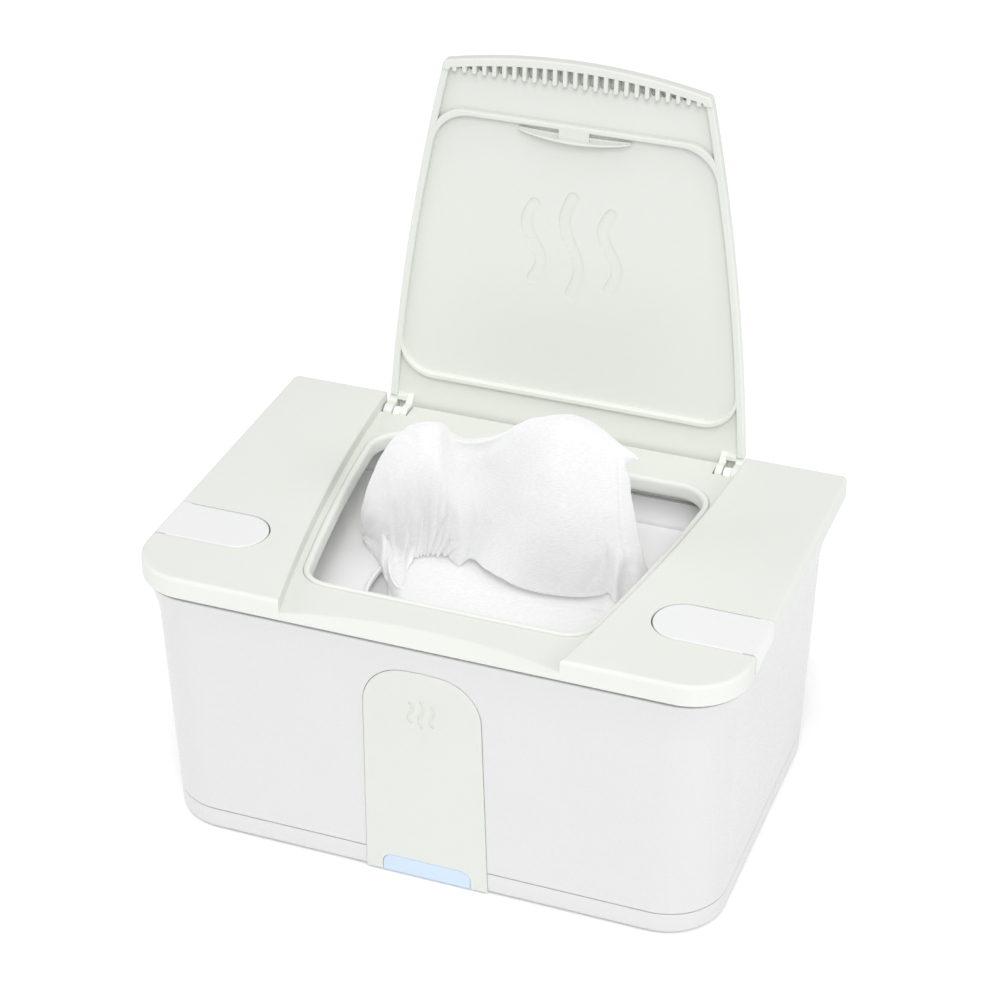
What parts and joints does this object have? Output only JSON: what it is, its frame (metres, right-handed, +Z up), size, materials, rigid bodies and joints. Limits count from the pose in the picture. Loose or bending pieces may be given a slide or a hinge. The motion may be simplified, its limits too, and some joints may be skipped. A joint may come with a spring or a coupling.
{
  "type": "baby wipe warmer",
  "caption": "Electric wipe warmer: heated tub in a tapered housing, lift-off cover with two side latches, and a wide flip lid over the dispensing opening.",
  "frame": {"origin": "centre of the housing's base, on its flat underside, 0.8 mm above the surface that its rubber feet stand on", "axes": "+X to the right seen from the front, +Y to the back where the lid is hinged, +Z up"},
  "size_m": [0.255, 0.1851, 0.2916],
  "materials": {
    "housing_plastic": "satin moulded ABS, cool white",
    "cover_plastic": "satin moulded ABS, warm off-white",
    "latch_plastic": "satin moulded ABS, pale grey-white",
    "seal_silicone": "soft silicone, off-white",
    "lug_plastic": "acetal, white",
    "window_plastic": "translucent diffusing acrylic, pale blue",
    "tub_plastic": "moulded polypropylene, grey",
    "plate_plastic": "moulded polypropylene, light grey",
    "aluminium": "mill",
    "film": "polyimide film",
    "foam": "closed-cell foam",
    "foot_rubber": "matt rubber",
    "steel": "zinc plated",
    "board": "solder mask on glass epoxy",
    "black_plastic": "moulded",
    "lead": "insulated wire",
    "wipe_cloth": "moist non-woven cloth"
  },
  "bodies": {
    "housing": {"outer_shell": "housing_plastic", "base_cover": "housing_plastic", "front_panel": "cover_plastic", "light_window": "window_plastic", "led_board": "board", "control_board": "board", "touch_pad": "foam", "board_screws": "steel", "dc_inlet": "black_plastic", "inner_tub": "tub_plastic", "heater_plate": "aluminium", "heating_film": "film", "insulation_pad": "foam", "thermostat": "black_plastic", "thermal_fuse": "steel", "wiring": "lead", "tub_gasket": "seal_silicone", "rubber_feet": "foot_rubber", "base_screws": "steel", "wipe_stack": "wipe_cloth", "pulled_wipe": "wipe_cloth"},
    "plate": {"inner_plate": "plate_plastic"},
    "cover": {"top_cover": "cover_plastic", "rim_seal": "seal_silicone", "hinge_lugs": "lug_plastic", "latch_pins": "steel", "spring_left": "steel", "spring_right": "steel"},
    "lid": {"flip_lid": "cover_plastic", "hinge_pins": "steel"},
    "left_latch": {"latch_left": "latch_plastic"},
    "right_latch": {"latch_right": "latch_plastic"}
  },
  "joints": [
    {"name": "cover_lift", "type": "slide", "parent": "housing", "child": "cover", "axis": [0, 0, 1], "range_m": [0, 0.06]},
    {"name": "plate_lift", "type": "slide", "parent": "housing", "child": "plate", "axis": [0, 0, 1], "range_m": [0, 0.014]},
    {"name": "lid_hinge", "type": "hinge", "parent": "cover", "child": "lid", "pos_m": [0, 0.0805, 0.12], "axis": [1, 0, 0], "range_deg": [0, 93.3], "deforming": ["pulled_wipe"]},
    {"name": "left_latch_press", "type": "hinge", "parent": "cover", "child": "left_latch", "pos_m": [-0.104, -0.0445, 0.125], "axis": [0, 1, 0], "range_deg": [0, 4], "stiffness_Nm_per_rad": 0.15, "springref_deg": -2.86, "deforming": ["spring_left"]},
    {"name": "right_latch_press", "type": "hinge", "parent": "cover", "child": "right_latch", "pos_m": [0.104, -0.0445, 0.125], "axis": [0, -1, 0], "range_deg": [0, 4], "stiffness_Nm_per_rad": 0.15, "springref_deg": -2.86, "deforming": ["spring_right"]}
  ]
}
